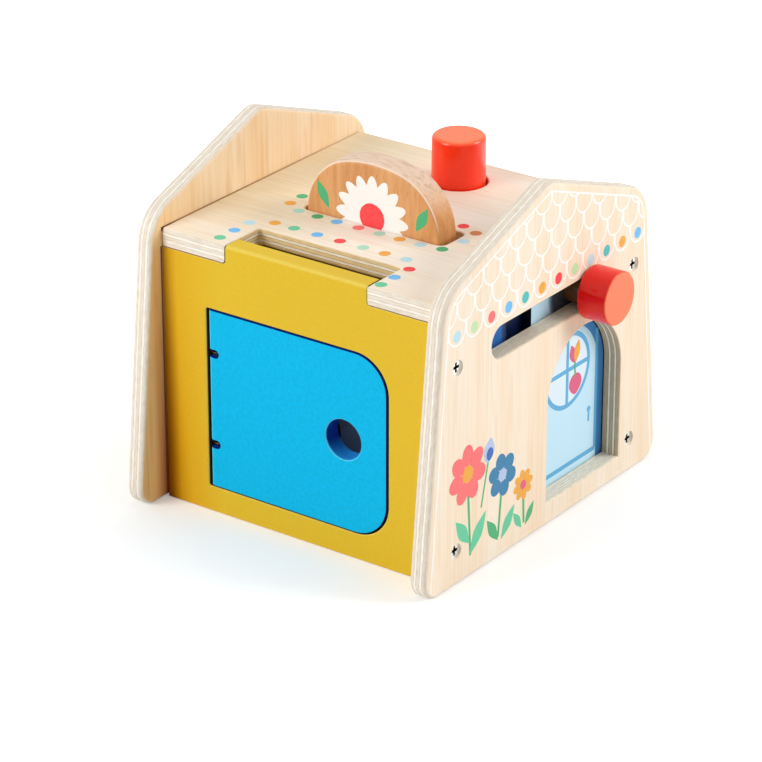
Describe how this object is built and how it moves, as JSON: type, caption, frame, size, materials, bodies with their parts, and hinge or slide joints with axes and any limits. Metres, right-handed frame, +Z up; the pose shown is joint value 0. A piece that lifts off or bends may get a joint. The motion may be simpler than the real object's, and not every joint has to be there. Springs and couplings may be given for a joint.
{
  "type": "wooden hide-and-seek house",
  "caption": "Wooden toy house with plywood gables, a hinged front door with a finger hole, a posting slot, a sliding window shutter, and a push peg that pops up a plaque.",
  "frame": {"origin": "on the floor, under the middle of the box between the gables", "axes": "+Z up, -Y towards the viewer of the front door, +X towards the gable with the window"},
  "size_m": [0.1755, 0.179, 0.1603],
  "materials": {
    "birch_plywood": "clear satin lacquer",
    "yellow_paint": "satin paint",
    "blue_paint": "matt paint",
    "red_lacquer": "gloss lacquer",
    "beech": "clear satin lacquer",
    "printed_board": "satin print",
    "dark_printed_board": "satin print",
    "zinc_steel": "zinc plated"
  },
  "bodies": {
    "root": {"left_gable": "birch_plywood", "right_gable": "birch_plywood", "deck": "birch_plywood", "base_board": "birch_plywood", "divider": "printed_board", "window_backing": "dark_printed_board", "door_stop": "birch_plywood", "front_panel": "yellow_paint", "rear_panel": "yellow_paint", "front_plaque_guide": "birch_plywood", "rear_plaque_guide": "birch_plywood", "peg_guide": "birch_plywood", "left_rocker_bracket": "birch_plywood", "right_rocker_bracket": "birch_plywood", "deck_dowels": "beech", "base_dowels": "beech", "right_gable_screws": "zinc_steel", "left_gable_screws": "zinc_steel", "bracket_screws": "zinc_steel", "hinge_eyes": "zinc_steel", "rocker_axle": "zinc_steel", "rocker_washers": "zinc_steel"},
    "door": {"door_leaf": "blue_paint", "hinge_rod": "zinc_steel"},
    "plaque": {"plaque": "beech"},
    "peg": {"push_peg": "red_lacquer", "peg_collar": "beech", "collar_screws": "zinc_steel"},
    "rocker": {"rocker": "beech"},
    "shutter": {"shutter": "printed_board", "knob": "red_lacquer", "knob_screw": "zinc_steel"}
  },
  "joints": [
    {"name": "door_hinge", "type": "hinge", "parent": "root", "child": "door", "pos_m": [-0.0443, -0.0683, 0.05405], "axis": [0, 0, -1], "range_deg": [0, 95]},
    {"name": "peg_push", "type": "slide", "parent": "root", "child": "peg", "axis": [0, 0, -1], "range_m": [0, 0.018]},
    {"name": "plaque_lift", "type": "slide", "parent": "root", "child": "plaque", "axis": [0, 0, 1], "range_m": [0, 0.018]},
    {"name": "rocker_turn", "type": "hinge", "parent": "root", "child": "rocker", "pos_m": [0, 0.01843, 0.0784], "axis": [-1, 0, 0], "range_deg": [0, 35.5]},
    {"name": "shutter_slide", "type": "slide", "parent": "root", "child": "shutter", "axis": [0, -1, 0], "range_m": [0, 0.0628]}
  ],
  "couplings": [
    {"joint": "plaque_lift", "follows": "peg_push", "ratio": 1},
    {"joint": "rocker_turn", "follows": "peg_push", "rad_per_m": 34.357}
  ]
}
